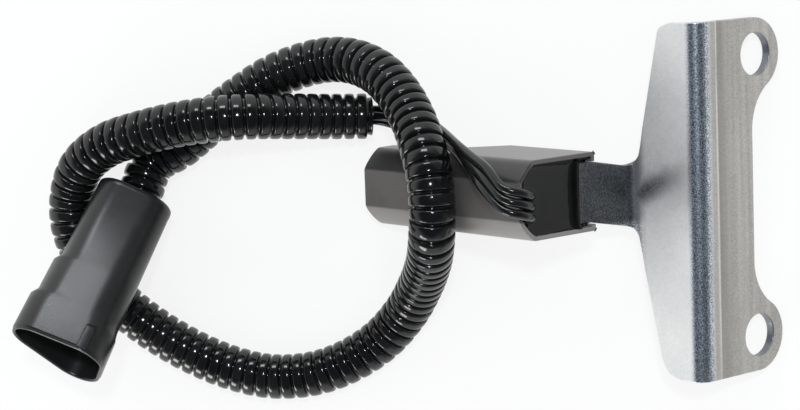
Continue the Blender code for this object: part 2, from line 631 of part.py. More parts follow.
def build():
    for old in list(bpy.data.objects):
        bpy.data.objects.remove(old)
    tilt, height = body_tilt()
    reach_low = -SHELL_LENGTH * cos(tilt) - SHELL_DEPTH / 2 * sin(tilt)
    reach_high = EAR_FACE * cos(tilt) + (BOLT_ROW + EAR_ROUND) * sin(tilt)
    place = Vector((-(reach_low + reach_high) / 2, -BRACKET_MIDDLE, height))
    turn = (-pi / 2, -tilt, 0.0)
    sensor = frame_empty("sensor_frame", place, turn)
    sensor_shell(sensor)
    potting(sensor)
    bracket(sensor)
    inner_pieces(sensor)
    sensor_matrix = Matrix.LocRotScale(place, Euler(turn), None)
    leads(sensor_matrix)
    turn = (CONNECTOR_RISE, 0.0, CONNECTOR_HEADING)
    connector = frame_empty("connector_frame", CONNECTOR_PLACE, turn)
    connector_body(connector)
    connector_pieces(connector)
    loom(Matrix.LocRotScale(CONNECTOR_PLACE, Euler(turn), None))


build()
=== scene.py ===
import bmesh
import bpy
from math import asin, atan2, cos, exp, hypot, pi, radians, sin, tan
from mathutils import Euler, Matrix, Vector


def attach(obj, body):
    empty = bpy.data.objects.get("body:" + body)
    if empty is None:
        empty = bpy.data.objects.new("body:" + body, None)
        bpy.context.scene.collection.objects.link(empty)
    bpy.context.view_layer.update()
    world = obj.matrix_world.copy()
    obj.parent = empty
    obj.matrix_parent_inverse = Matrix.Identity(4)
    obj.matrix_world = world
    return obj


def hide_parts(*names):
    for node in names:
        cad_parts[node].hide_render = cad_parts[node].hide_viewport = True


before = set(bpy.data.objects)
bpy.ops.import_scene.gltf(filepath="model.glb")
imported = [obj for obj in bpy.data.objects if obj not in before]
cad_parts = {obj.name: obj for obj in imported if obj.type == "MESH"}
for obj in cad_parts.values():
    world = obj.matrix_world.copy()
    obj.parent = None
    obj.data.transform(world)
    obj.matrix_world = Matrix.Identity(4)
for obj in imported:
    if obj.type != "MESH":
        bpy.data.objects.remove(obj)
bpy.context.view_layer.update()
mm = 0.001
near = 0.01  # millimetres: two places this close are one
print("frame loaded")

# the sensor's own frame: x out of the cable end, y away from the front face, z across; all in millimetres
sensor = {
    "length": 49.0, "depth": 23.2, "width": 17.2, "wall": 1.0, "deepLength": 25.0, "shoulderRun": 9.0,
    "noseDepth": 11.6, "noseRound": 3.0, "backRound": 0.7, "rimRound": 0.22, "tipRound": 0.5,
    "frontRound": 4.6, "frontProfile": 0.33, "mouthDepth": 9.0,
}
plate = {
    "sheet": 2.0, "strapFace": -1.5, "strapHalf": 6.7, "strapMiddle": -0.3, "strapEndMiddle": -2.3,
    "strapFoot": 4.0, "strapEmbedded": 13.1, "valleyFace": 25.2, "bendRound": 3.0, "earFace": 17.6,
    "middle": -3.4, "startHalf": 11.1, "start": 0.3, "slopeEnd": 5.9, "endHalf": 35.0, "corner": 2.0,
    "lowCorner": 7.6, "topCorner": 6.6, "cornerDrop": 1.1, "cornerRun": 4.0, "trim": 0.25, "far": 100,
    "hole": 9.4, "holeRow": 44.4, "holeSpacing": 62.0, "earRound": 8.0, "waist": 43.2, "waistRound": 11.5,
    "edgeRound": 0.28, "bendSteps": 14, "cornerSteps": 12, "waistSteps": 16, "earSteps": 32, "closest": 0.08,
}
plug = {
    "place": (-98.2, 1.9, 8.5), "rise": 33.8, "heading": 155.9, "length": 41.3, "hoodDepth": 14.0,
    "socketDepth": 18.0, "wall": 1.0,
    # outlines are bands round three circles: across, up, radius
    "hoodCircles": [(2.9, 1.3, 5.9), (-3.1, 1.0, 5.7), (-2.4, -1.6, 5.7)],
    "mouthCircles": [(1.9, 3.1, 6.6), (-4.7, 4.1, 6.3), (-3.7, -3.7, 6.3)],
    "leftSteps": (20.6, 30.1), "leftOut": 1.1, "rightStep": 32.6, "rightOut": 0.5, "stepRun": 1.7,
    # rims from the inside out: distance from the end, inset from the outline
    "mouthRim": [(0.6, 1.0), (0.35, 1.0), (0.12, 0.88), (0.0, 0.7), (0.0, 0.45), (0.1, 0.28), (0.3, 0.2),
                 (0.6, 0.2), (0.72, 0.16), (0.85, 0.02), (1.1, 0.0)],
    "hoodRim": [(0.5, 1.0), (0.2, 0.95), (0.0, 0.72), (0.0, 0.28), (0.2, 0.04), (0.55, -0.06), (1.55, -0.06),
                (1.7, 0)],
    "keyLength": 5.0, "keyRamp": 2.0, "keyWidth": 2.1, "keyHeight": 1.0, "keyAcross": -6.0, "keySunk": 0.35,
    "keyDeep": 2.6, "keyFromMouth": 0.5, "keyRound": 0.3,
}
gap = 0.3


def layFrame():
    # the body rests on its nose's rounded corner and on the back edge of the ears
    ear = Vector((plate["earFace"] - plate["sheet"], plate["holeRow"] + plate["earRound"]))
    noseBack = sensor["noseDepth"] - sensor["depth"] / 2
    corner = Vector((sensor["noseRound"] - sensor["length"], noseBack - sensor["noseRound"]))
    span = ear - corner
    tilt = atan2(span.y, span.x) - asin(sensor["noseRound"] / span.length)
    low = -sensor["length"] * cos(tilt) - sensor["depth"] / 2 * sin(tilt)
    high = plate["earFace"] * cos(tilt) + ear.y * sin(tilt)
    place = Vector((-(low + high) / 2, -plate["middle"], ear.y * cos(tilt) - ear.x * sin(tilt)))
    return Matrix.LocRotScale(place * mm, Euler((-pi / 2, -tilt, 0)), None) @ Matrix.Scale(mm, 4)


sensorFrame = layFrame()
plugTurn = Euler((radians(plug["rise"]), 0, radians(plug["heading"])))
plugFrame = Matrix.LocRotScale(Vector(plug["place"]) * mm, plugTurn, None) @ Matrix.Scale(mm, 4)

# camera
view = {
    "lean": 8.065, "lift": 7.577, "roll": 2.076, "distance": 0.532, "lens": 112.84, "clip": 0.02,
    "target": (-34.23, 2.96, 34.96),
}


def addCamera():
    lean, lift, roll = (radians(view[key]) for key in ("lean", "lift", "roll"))
    back = Vector((sin(lean) * cos(lift), sin(lift), cos(lean) * cos(lift)))
    upright = (Vector((0, 1, 0)) - back * back.y).normalized()
    right = (upright.cross(back) * cos(roll) - upright * sin(roll)).normalized()
    turn = Matrix((right, back.cross(right), back)).transposed()
    lens = bpy.data.cameras.new("camera")
    lens.lens = view["lens"]
    lens.clip_start = view["clip"]
    camera = bpy.data.objects.new("camera", lens)
    place = Vector(view["target"]) * mm + back * view["distance"]
    camera.matrix_world = Matrix.LocRotScale(place, turn.to_quaternion(), None)
    bpy.context.scene.collection.objects.link(camera)
    bpy.context.scene.camera = camera


addCamera()
print("camera placed")


class Value:  # one shader socket, so that shader sums are written as plain expressions
    def __init__(self, look, socket):
        self.look, self.socket = look, socket

    def maths(self, operation, *values):
        return self.look.node("ShaderNodeMath", {"operation": operation}, dict(enumerate(values)))

    def __add__(self, other):
        return self.maths("ADD", self, other)

    def __radd__(self, other):
        return self.maths("ADD", other, self)

    def __sub__(self, other):
        return self.maths("SUBTRACT", self, other)

    def __rsub__(self, other):
        return self.maths("SUBTRACT", other, self)

    def __mul__(self, other):
        return self.maths("MULTIPLY", self, other)

    def __rmul__(self, other):
        return self.maths("MULTIPLY", other, self)

    def __truediv__(self, other):
        return self.maths("DIVIDE", self, other)

    def __pow__(self, other):
        return self.maths("POWER", self, other)

    def size(self):
        return self.maths("ABSOLUTE", self)

    def most(self, other):
        return self.maths("MAXIMUM", self, other)

    def ease(self, low, high):
        # 0 below low, 1 above high
        settings = {"interpolation_type": "SMOOTHSTEP"}
        return self.look.node("ShaderNodeMapRange", settings, {0: self, 1: low, 2: high})


class Look:
    def __init__(self, name, world=None):
        if world is None:
            self.block = bpy.data.materials.new(name)
        else:
            self.block = world
        self.block.use_nodes = True
        self.tree = self.block.node_tree
        self.tree.nodes.clear()

    def node(self, kind, settings=None, sockets=None, output=0):
        made = self.tree.nodes.new(kind)
        for key, value in (settings or {}).items():
            setattr(made, key, value)
        for key, value in (sockets or {}).items():
            if isinstance(value, Value):
                self.tree.links.new(value.socket, made.inputs[key])
            else:
                made.inputs[key].default_value = value
        return Value(self, made.outputs[output] if made.outputs else None)

    def coordinates(self, turn=(0, 0, 0), stretch=(1, 1, 1), place=None):
        place = place or self.node("ShaderNodeTexCoord", output="Object")
        sockets = {"Vector": place, "Rotation": turn, "Scale": stretch}
        return self.node("ShaderNodeMapping", {"vector_type": "POINT"}, sockets)

    def ownFrame(self):
        # coordinates in the sensor's own frame, in millimetres
        place, turn, scale = sensorFrame.decompose()
        own = self.node("ShaderNodeTexCoord", output="Object")
        sockets = {"Vector": own, "Location": place, "Rotation": turn.to_euler(), "Scale": scale}
        own = self.node("ShaderNodeMapping", {"vector_type": "TEXTURE"}, sockets)
        return own, [self.node("ShaderNodeSeparateXYZ", None, {0: own}, axis) for axis in (0, 1, 2)]

    def noise(self, scale, detail=3, roughness=0.55, where=None):
        # scale is grains per unit of the coordinates, metres unless where is given
        where = where or self.coordinates()
        sockets = {"Vector": where, "Scale": scale, "Detail": detail, "Roughness": roughness}
        return self.node("ShaderNodeTexNoise", None, sockets)

    def mix(self, factor, first, second):
        settings = {"data_type": "RGBA", "blend_type": "MIX"}
        return self.node("ShaderNodeMix", settings, {0: factor, 6: first, 7: second}, 2)

    def bump(self, height, distance, strength=1.0, normal=None):
        sockets = {"Height": height, "Distance": distance, "Strength": strength}
        if normal is not None:
            sockets["Normal"] = normal
        return self.node("ShaderNodeBump", None, sockets)

    def finish(self, **sockets):
        values = {key.replace("_", " "): value for key, value in sockets.items()}
        shader = self.node("ShaderNodeBsdfPrincipled", None, values)
        self.node("ShaderNodeOutputMaterial", None, {"Surface": shader})
        return self.block


def grey(level, warmth=0.0):
    return (level * (1 + warmth), level, level * (1 - warmth), 1)


# finishes
def mouldedPlastic(name, dark, pale, roughness, grainSize, warmth=0.0, scuffs=0.10):
    look = Look(name)
    grain = look.noise(1 / grainSize, 2)
    cloud = look.noise(90, 4, 0.6)
    blotch = look.noise(260, 3, 0.6)
    drawn = look.coordinates(turn=(0.4, 0.9, 0.3), stretch=(0.12, 1, 1))
    rub = look.noise(1500, 4, 0.7, drawn).ease(0.60, 0.74)
    shade = cloud.ease(0.35, 0.65) * 0.6 + blotch.ease(0.4, 0.62) * 0.4
    colour = look.mix(shade, grey(dark, warmth), grey(pale, warmth))
    colour = look.mix(rub * scuffs, colour, grey(pale * 3.2, warmth * 0.5))
    rough = roughness + (cloud - 0.5) * 0.07 + (grain - 0.5) * 0.10 + rub * 0.08
    normal = look.bump(blotch, 0.00005, 0.12, look.bump(grain, 0.00003, 0.35))
    return look.finish(Base_Color=colour, Roughness=rough, IOR=1.55, Normal=normal)


# start and end of each soft edge of the painted light, the painted dark upper corner and the painted pale
# lower corner, in the sensor's own frame
shellPaintedLight = {"edge": (-0.1, 0.5), "back": (-8.6, -7.0)}


def shellPlastic(name):
    # one moulding with painted light: a painted reflection makes its lower corner paler, and painted shade
    # makes its upper one darker
    look = Look(name)
    own, (_, y, z) = look.ownFrame()
    grain = look.noise(2.8, 2, 0.55, own)
    cloud = look.noise(0.09, 4, 0.6, own)
    speck = look.noise(1.9, 2, 0.7, own).ease(0.72, 0.80)
    flat = sensor["width"] / 2 - sensor["frontRound"]
    start, end = (flat + place for place in shellPaintedLight["edge"])
    # masks for the painted pale lower corner and the painted dark upper corner
    low = (-1 * z).ease(start, end)
    high = z.ease(start, end) * (1 - y.ease(*shellPaintedLight["back"]))
    shade = cloud.ease(0.35, 0.65) * 0.7 + grain.ease(0.3, 0.7) * 0.3
    colour = look.mix(shade, (0.088, 0.082, 0.079, 1), (0.110, 0.103, 0.099, 1))
    # painted shade darkens the upper corner, and a painted reflection lightens the lower corner
    colour = look.mix(high * 0.85, colour, (0.020, 0.020, 0.021, 1))
    colour = look.mix(low * 0.8, colour, (0.235, 0.225, 0.215, 1))
    colour = look.mix(speck * 0.25, colour, (0.30, 0.30, 0.29, 1))
    rough = 0.30 + (cloud - 0.5) * 0.06 + (grain - 0.5) * 0.08
    return look.finish(Base_Color=colour, Roughness=rough, IOR=1.5, Normal=look.bump(grain, 0.00003, 0.3))


# soft edges of the zinc's painted reflections, painted shade and painted highlight, and of its hole bores, in
# the sensor's own frame
zincTone = {
    "strapEnd": (-1.4, 2.6), "strapLow": (-9.4, -7.4), "ridge": (14.0, 15.6), "ridgeEnd": (28.4, 30.0),
    "ears": (28.6, 30.0), "crease": (31.6, 31.9), "creaseEnd": (32.0, 37.0), "bendPaintedHighlight": (31.0, 31.2),
    "bendPaintedHighlightEnd": (31.5, 31.7), "slantFade": (2, 17), "bore": (0.03, 0.12),
    "slantPlace": 1.9, "slantRise": 0.37, "slantWaver": 3, "slantHalf": 4.6,
}


def zincPlate(name):
    # painted reflections: dark on the strap, bright on the first flange, blue and grainy over the ridge;
    # painted shade makes the ears duller
    look = Look(name)
    own, (x, y, z) = look.ownFrame()
    grain = look.noise(3.6, 2, 0.6, own)
    crystal = look.noise(1.6, 4, 0.65, own)
    cloud = look.noise(0.07, 4, 0.6, own)
    drawn = look.coordinates(stretch=(1, 1, 0.03), place=own)
    streaks, wide = look.noise(1.5, 3, 0.6, drawn), look.noise(0.45, 2, 0.5, drawn)
    speck = look.noise(2.4, 2, 0.7, own).ease(0.68, 0.78)
    # the strap's painted dark reflection runs out slantwise over the fold
    slant = z + zincTone["slantPlace"] - x * zincTone["slantRise"]
    slant = (slant + (cloud - 0.5) * zincTone["slantWaver"]).size()
    slant = (1 - slant / zincTone["slantHalf"]).ease(0, 1) * (1 - x.ease(*zincTone["slantFade"]))
    slant = slant * (0.6 + grain.ease(0.35, 0.65) * 0.35)
    # the strap is painted dark as a reflection, with a painted highlight left pale along its lower edge
    strap = 1 - (1 - z.ease(*zincTone["strapLow"])) * grain.ease(0.35, 0.6) * 0.75
    strap = ((1 - x.ease(*zincTone["strapEnd"])) * strap).most(slant)
    ridge = x.ease(*zincTone["ridge"]) * (1 - y.ease(*zincTone["ridgeEnd"]))
    eared = y.ease(*zincTone["ears"])
    # painted shade along a second bend line on the ears, with a painted highlight beside it
    creased = y.ease(*zincTone["crease"]) * (1 - y.ease(*zincTone["creaseEnd"]))
    bendPaintedHighlight = y.ease(*zincTone["bendPaintedHighlight"]) * (1 - y.ease(*zincTone["bendPaintedHighlightEnd"])) * streaks.ease(0.3, 0.55)
    away = (y - plate["holeRow"]) ** 2 + ((z - plate["middle"]).size() - plate["holeSpacing"] / 2) ** 2
    bore = 1 - away.ease(*((plate["hole"] / 2 + place) ** 2 for place in zincTone["bore"]))
    shade = crystal.ease(0.3, 0.7) * 0.5 + cloud.ease(0.35, 0.65) * 0.5
    # painted reflection makes the first flange bright; painted shade over real grain makes the ears duller
    flangePaintedReflection = look.mix(shade, (0.70, 0.715, 0.72, 1), (0.86, 0.865, 0.85, 1))
    shift = wide.ease(0.35, 0.65) * 0.3 + grain.ease(0.32, 0.68) * 0.45 + shade * 0.25
    earsGrainAndPaintedShade = look.mix(shift, (0.30, 0.29, 0.27, 1), (0.60, 0.59, 0.56, 1))
    earsGrainAndPaintedShade = look.mix(creased * 0.55, earsGrainAndPaintedShade, (0.24, 0.23, 0.205, 1))
    # painted reflection: the ridge is painted blue and grainy
    ridgePaintedReflection = look.mix(grain.ease(0.36, 0.66), (0.16, 0.185, 0.23, 1), (0.76, 0.82, 0.90, 1))
    shift = grain.ease(0.38, 0.70) * 0.6 + shade * 0.3
    # painted dark reflection for the strap
    dark = look.mix(shift, (0.045, 0.048, 0.055, 1), (0.26, 0.275, 0.29, 1))
    colour = look.mix(strap, look.mix(eared, look.mix(ridge, flangePaintedReflection, ridgePaintedReflection), earsGrainAndPaintedShade), dark)
    # painted highlight beside the bend line
    colour = look.mix(bendPaintedHighlight * 0.7, colour, (0.78, 0.77, 0.72, 1))
    colour = look.mix(bore * 0.8, colour, (0.14, 0.16, 0.20, 1))
    colour = look.mix(speck * 0.25, colour, (0.2, 0.2, 0.205, 1))
    rough = 0.34 + (crystal - 0.5) * 0.16 + (cloud - 0.5) * 0.08 + speck * 0.12
    normal = look.bump(streaks, 0.00002, 0.4, look.bump(crystal * 0.4 + grain * 0.6, 0.00003, 0.6))
    # the open flange is less metallic, so that its pale colour shows as a painted bright reflection
    metal = 0.62 + strap * 0.3 + ridge * 0.33 + eared * 0.2
    return look.finish(Base_Color=colour, Metallic=metal, Roughness=rough, Normal=normal)


def glossBlack(name, level, roughness, ripple=0.3, ior=1.5):
    look = Look(name)
    wave = look.noise(320, 2)
    cloud = look.noise(120, 3, 0.6)
    dust = look.noise(3800, 2, 0.7).ease(0.70, 0.78)
    colour = look.mix(cloud.ease(0.4, 0.65), grey(level, -0.06), grey(level * 1.8, -0.03))
    colour = look.mix(dust * 0.25, colour, grey(0.16, 0.05))
    rough = roughness + (cloud - 0.5) * 0.06 + dust * 0.25
    return look.finish(Base_Color=colour, Roughness=rough, IOR=ior, Normal=look.bump(wave, 0.0001, ripple))


def smallPart(name, first, second, roughness, metallic=0.0, grainSize=0.0003):
    look = Look(name)
    grain = look.noise(1 / grainSize, 3)
    cloud = look.noise(400, 3)
    rough = roughness + (grain - 0.5) * 0.2
    colour = look.mix(cloud.ease(0.35, 0.65), first, second)
    normal = look.bump(grain, 0.00002, 0.4)
    return look.finish(Base_Color=colour, Metallic=metallic, Roughness=rough, Normal=normal)


shellBlack = shellPlastic("shell moulding")
connectorBlack = mouldedPlastic("connector moulding", 0.009, 0.014, 0.30, 0.00028, warmth=-0.03, scuffs=0.06)
zinc = zincPlate("zinc plating")
pottingBlack = glossBlack("potting resin", 0.003, 0.06, 0.5, 1.3)
conduitBlack = glossBlack("conduit", 0.005, 0.13, 0.15)
leadBlack = glossBlack("lead sheath", 0.006, 0.20, 0.2)
lockBlack = mouldedPlastic("lock plate", 0.03, 0.045, 0.5, 0.0003)
contactTin = smallPart("tinned contact", (0.62, 0.61, 0.58, 1), (0.74, 0.73, 0.70, 1), 0.28, 1.0)
sealRubber = smallPart("seal rubber", (0.10, 0.028, 0.018, 1), (0.14, 0.04, 0.025, 1), 0.65)
magnetGrey = smallPart("magnet", (0.38, 0.38, 0.39, 1), (0.5, 0.5, 0.51, 1), 0.35, 1.0)
chipBlack = smallPart("chip", (0.018, 0.018, 0.018, 1), (0.03, 0.03, 0.03, 1), 0.5)
boardGreen = smallPart("board", (0.015, 0.13, 0.05, 1), (0.02, 0.18, 0.07, 1), 0.4)
print("finishes made")


def dress(node, material):
    slots = bpy.data.objects[node].material_slots
    for slot in slots:
        slot.material = material


for number in (1, 2, 3):
    dress(f"contact_pin_{number}", contactTin)
    dress(f"board_pin_{number}", contactTin)
    dress(f"cable_seal_{number}", sealRubber)
dress("magnet", magnetGrey)
dress("sensing_chip", chipBlack)
dress("circuit_board", boardGreen)


def addPiece(name, work, material, place=None, sharp=35, nodes=()):
    # a bmesh in its own frame becomes a piece with its place in its mesh
    bmesh.ops.recalc_face_normals(work, faces=work.faces)
    mesh = bpy.data.meshes.new(name)
    work.to_mesh(mesh)
    work.free()
    if place is not None:
        mesh.transform(place)
    mesh.materials.append(material)
    mesh.shade_smooth()
    mesh.set_sharp_from_angle(angle=radians(sharp))
    piece = bpy.data.objects.new(name, mesh)
    bpy.context.scene.collection.objects.link(piece)
    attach(piece, "root")
    if nodes:
        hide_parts(*nodes)
    return piece


# conduit and leads
conduit = {
    "pitch": 2.8, "segments": 36, "diameter": 10.2, "inHood": (-0.6, 0.3),
    "step": 0.25, "pathEvery": 6, "firstCrest": 0.6, "endRadius": 4.1,
    # the free end, from inside the bore: place along the conduit, radius
    "rim": [(9.0, 3.4), (0.35, 3.4), (0.05, 3.52), (0.0, 3.7), (0.0, 4.1), (0.08, 4.3), (0.45, 4.3),
            (0.55, 4.14)],
    # one corrugation: place within its pitch, radius
    "profile": [(0.14, 4.20), (0.32, 4.14), (0.50, 4.20), (0.58, 4.40), (0.64, 4.72), (0.74, 4.94),
                (0.92, 5.05), (1.24, 5.10), (1.72, 5.12), (2.20, 5.10), (2.52, 5.05), (2.70, 4.94),
                (2.80, 4.72), (2.86, 4.40)],
    "route": [
        (-94.7, 9.4, 5.6), (-88.2, 13.2, 5.2), (-82.0, 18.0, 5.2), (-74.5, 23.4, 5.2), (-65.3, 28.8, 5.2),
        (-55.7, 31.7, 5.3), (-48.0, 31.8, 7.8), (-41.5, 29.5, 11.7), (-36.8, 25.5, 15.7), (-33.2, 20.6, 20.2),
        (-30.6, 15.4, 25.2), (-28.7, 9.4, 29.1), (-28.0, 3.4, 30.6), (-28.2, -2.4, 29.9), (-29.0, -7.2, 26.4),
        (-30.6, -12.2, 20.0), (-33.6, -18.4, 12.4), (-37.8, -25.2, 7.4), (-43.9, -31.8, 5.3),
        (-51.6, -36.6, 5.2), (-60.0, -39.4, 5.2), (-69.5, -39.9, 5.2), (-78.7, -37.8, 5.2),
        (-87.5, -34.0, 5.2), (-95.8, -29.0, 5.2), (-102.9, -23.3, 5.4), (-108.0, -17.4, 5.6),
        (-111.7, -10.8, 6.0), (-113.6, -3.8, 7.0), (-113.1, 3.4, 7.6), (-109.9, 9.9, 9.5),
        (-103.2, 14.7, 12.4), (-94.8, 17.4, 15.2), (-86.2, 19.3, 16.4), (-78.4, 20.3, 16.6),
        (-69.8, 20.6, 15.2), (-61.2, 20.1, 11.6), (-52.4, 19.5, 8.0), (-43.9, 19.2, 6.0),
    ],
}
lead = {
    "diameter": 2.0, "exit": -8.0, "middle": -1.4, "pitch": 2.3, "step": 0.8, "smoothing": 6,
    "side": (0.40, 0.92, 0.0), "deep": (-0.78, 0.38, 0.50),
    # out of the potting at a slant: height over the rim, towards the front face, across
    "bend": [(-2.0, -0.9, -0.2), (-0.6, 0.0, 0.0), (1.1, 1.1, 0.3), (2.7, 2.7, 0.8), (3.5, 4.9, 1.4),
             (2.8, 7.3, 2.2), (0.4, 8.9, 2.9)],
    # place, spread to each side, rise of the middle lead, spread in depth
    "route": [
        (-15.6, 8.9, 39.2, 2.1, 0.0, 0.3), (-18.6, 10.8, 33.6, 1.8, 0.1, 0.9),
        (-21.8, 12.8, 27.4, 1.5, 0.0, 1.5), (-24.9, 14.6, 20.4, 1.3, 0.0, 1.65),
        (-28.2, 15.9, 14.6, 1.4, 0.6, 1.4), (-32.4, 16.9, 10.2, 1.5, 1.7, 0.5),
        (-37.2, 18.2, 6.8, 1.5, 1.9, 0.0), (-40.6, 19.0, 5.3, 1.3, 1.8, 0.0),
        (-42.8, 19.3, 4.8, 1.25, 1.75, 0.0), (-46.0, 19.4, 5.0, 1.2, 1.75, 0.0),
        (-49.0, 19.4, 5.8, 1.2, 1.75, 0.0),
    ],
}


def smoothLine(route, step):
    # evenly spaced points, in millimetres, on a smooth curve through the route
    route = [Vector(point) for point in route]
    route = [2 * route[0] - route[1], *route, 2 * route[-1] - route[-2]]
    dense, parts = [], 24
    for a, b, c, d in zip(route, route[1:], route[2:], route[3:]):
        square, cube = 2 * a - 5 * b + 4 * c - d, 3 * b - a - 3 * c + d
        for t in (i / parts for i in range(parts)):
            dense.append((2 * b + (c - a) * t + square * t ** 2 + cube * t ** 3) / 2)
    dense.append(route[-2])
    along = [0.0]
    for a, b in zip(dense, dense[1:]):
        along.append(along[-1] + (b - a).length)
    count = max(3, round(along[-1] / step))
    points, at = [], 0
    for i in range(count + 1):
        wanted = along[-1] * i / count
        while at < len(along) - 2 and along[at + 1] < wanted:
            at += 1
        share = (wanted - along[at]) / (along[at + 1] - along[at])
        points.append(dense[at].lerp(dense[at + 1], min(max(share, 0), 1)))
    return points, along[-1]


def conduitRoute():
    across, up = conduit["inHood"]
    depths = (plug["hoodDepth"] - gap, plug["hoodDepth"] / 2, 0.0)
    inHood = [plugFrame @ Vector((across, y, up)) / mm for y in depths]
    return list(reversed([*inHood, *conduit["route"]]))


def sweep(points, step, rings, segments):
    # rings: (place along the line, radius); a frame is carried along without twist
    work = bmesh.new()
    frames, side = [], Vector((0, 0, 1))
    for i in range(len(points)):
        ahead = (points[min(i + 1, len(points) - 1)] - points[max(i - 1, 0)]).normalized()
        side = (side - ahead * side.dot(ahead)).normalized()
        frames.append((side, ahead.cross(side)))
    loops = []
    for place, radius in rings:
        at = min(max(place / step, 0), len(points) - 1.001)
        low = int(at)
        centre = points[low].lerp(points[low + 1], at - low)
        first, second = (frames[low][k].lerp(frames[low + 1][k], at - low) for k in (0, 1))
        loops.append([work.verts.new((centre + (first * cos(a) + second * sin(a)) * radius) * mm)
                      for a in (2 * pi * j / segments for j in range(segments))])
    for one, two in zip(loops, loops[1:]):
        for j in range(segments):
            work.faces.new((one[j - 1], one[j], two[j], two[j - 1]))
    work.faces.new(loops[0])
    work.faces.new(loops[-1])
    return work


def makeConduit():
    points, length = smoothLine(conduitRoute(), conduit["step"])
    pitch, start = conduit["pitch"], conduit["firstCrest"]
    rings = list(conduit["rim"])
    for turn in range(int((length - start) / pitch)):
        rings += [(start + turn * pitch + place, radius) for place, radius in conduit["profile"]]
    rings += [(length, conduit["endRadius"])]
    work = sweep(points, length / (len(points) - 1), rings, conduit["segments"])
    piece = addPiece("conduit_skin", work, conduitBlack, sharp=60, nodes=("loom",))
    path = [point * mm for point in points[::conduit["pathEvery"]]]
    if (path[-1] - points[-1] * mm).length > near * mm:
        path.append(points[-1] * mm)
    return piece, path, length


def makeLeads():
    side, deep = (Vector(lead[key]).normalized() for key in ("side", "deep"))
    for number in range(3):
        offset = 1 - number
        across = lead["middle"] + offset * lead["pitch"]
        route = [sensorFrame @ Vector((x, lead["exit"] - fold, across + shift)) / mm
                 for x, fold, shift in lead["bend"]]
        for x, y, z, spread, rise, spreadDeep in lead["route"]:
            apart = (side * spread + deep * spreadDeep) * offset
            route.append(Vector((x, y, z)) + apart + Vector((0, 0, rise * (1 - abs(offset)))))
        points = smoothLine(route, lead["step"])[0]
        for _ in range(lead["smoothing"]):
            eased = [(a + 2 * b + c) / 4 for a, b, c in zip(points, points[1:], points[2:])]
            points = [points[0], *eased, points[-1]]
        length = sum((b - a).length for a, b in zip(points, points[1:]))
        line = bpy.data.curves.new(f"lead_wire_{number + 1}", "CURVE")
        line.dimensions = "3D"
        line.bevel_depth = lead["diameter"] / 2 * mm
        line.bevel_resolution = 4
        line.use_fill_caps = True
        spline = line.splines.new("POLY")
        spline.points.add(len(points) - 1)
        for point, place in zip(spline.points, points):
            point.co = (*(place * mm), 1)
        line.materials.append(leadBlack)
        piece = bpy.data.objects.new(line.name, line)
        bpy.context.scene.collection.objects.link(piece)
        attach(piece, "root")
        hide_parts(f"lead_{number + 1}")
        points[0] * mm
        print("lead", number + 1, round(length, 1), "mm")


conduitPiece, conduitPath, conduitLength = makeConduit()
makeLeads()
print("cords laid, conduit", round(conduitLength, 1), "mm")


def outline(work, corners, place):
    # a face from (x, y, radius) corners, rounded with bevels at its vertices
    verts = [work.verts.new(place(x, y)) for x, y, radius in corners]
    work.faces.new(verts)
    for radius in sorted({corner[2] for corner in corners if corner[2] > 0}):
        chosen = [vert for vert, corner in zip(verts, corners) if corner[2] == radius and vert.is_valid]
        bmesh.ops.bevel(work, geom=chosen, offset=radius, offset_type="OFFSET", segments=10, profile=0.5,
                        affect="VERTICES", material=-1)
    work.faces.ensure_lookup_table()
    return work.faces[0]


def raiseFace(work, face, vector):
    grown = bmesh.ops.extrude_face_region(work, geom=[face])
    moved = [item for item in grown["geom"] if isinstance(item, bmesh.types.BMVert)]
    bmesh.ops.translate(work, vec=vector, verts=moved)
    return [item for item in grown["geom"] if isinstance(item, bmesh.types.BMFace)]


def nextRing(work, ring, edges, places):
    # the first ring is closed by a face, and each later one is extruded from the ring before it
    if ring is None:
        ring = [work.verts.new(place) for place in places]
        work.faces.new(ring)
    else:
        drawn = bmesh.ops.extrude_edge_only(work, edges=edges)["geom"]
        grown = {item for item in drawn if isinstance(item, bmesh.types.BMVert)}
        ring = [next(edge.other_vert(vert) for edge in vert.link_edges if edge.other_vert(vert) in grown)
                for vert in ring]
        for vert, place in zip(ring, places):
            vert.co = place
    return ring, [work.edges.get((ring[i - 1], ring[i])) for i in range(len(ring))]


def roundEdges(work, radius, segments, chosen, profile=0.5):
    edges = [edge for edge in work.edges if chosen(*(vert.co for vert in edge.verts))]
    bmesh.ops.bevel(work, geom=edges, offset=radius, segments=segments, profile=profile, affect="EDGES",
                    material=-1)


def applyCut(piece, tool, operation="DIFFERENCE"):
    # the cutter is used up
    modifier = piece.modifiers.new("cut", "BOOLEAN")
    modifier.operation, modifier.solver, modifier.object = operation, "EXACT", tool
    bpy.context.view_layer.update()
    result = bpy.data.meshes.new_from_object(piece.evaluated_get(bpy.context.evaluated_depsgraph_get()))
    piece.modifiers.remove(modifier)
    old, piece.data = piece.data, result
    result.name = piece.name
    bpy.data.meshes.remove(old)
    spare = tool.data
    bpy.data.objects.remove(tool)
    bpy.data.meshes.remove(spare)


def cutTool(work, place):
    bmesh.ops.recalc_face_normals(work, faces=work.faces)
    mesh = bpy.data.meshes.new("cutter")
    work.to_mesh(mesh)
    work.free()
    mesh.transform(place)
    tool = bpy.data.objects.new("cutter", mesh)
    bpy.context.scene.collection.objects.link(tool)
    return tool


def block(low, high):
    work = bmesh.new()
    bmesh.ops.create_cube(work, size=1.0)
    bmesh.ops.scale(work, vec=Vector(high) - Vector(low), verts=work.verts)
    bmesh.ops.translate(work, vec=(Vector(high) + Vector(low)) / 2, verts=work.verts)
    return work


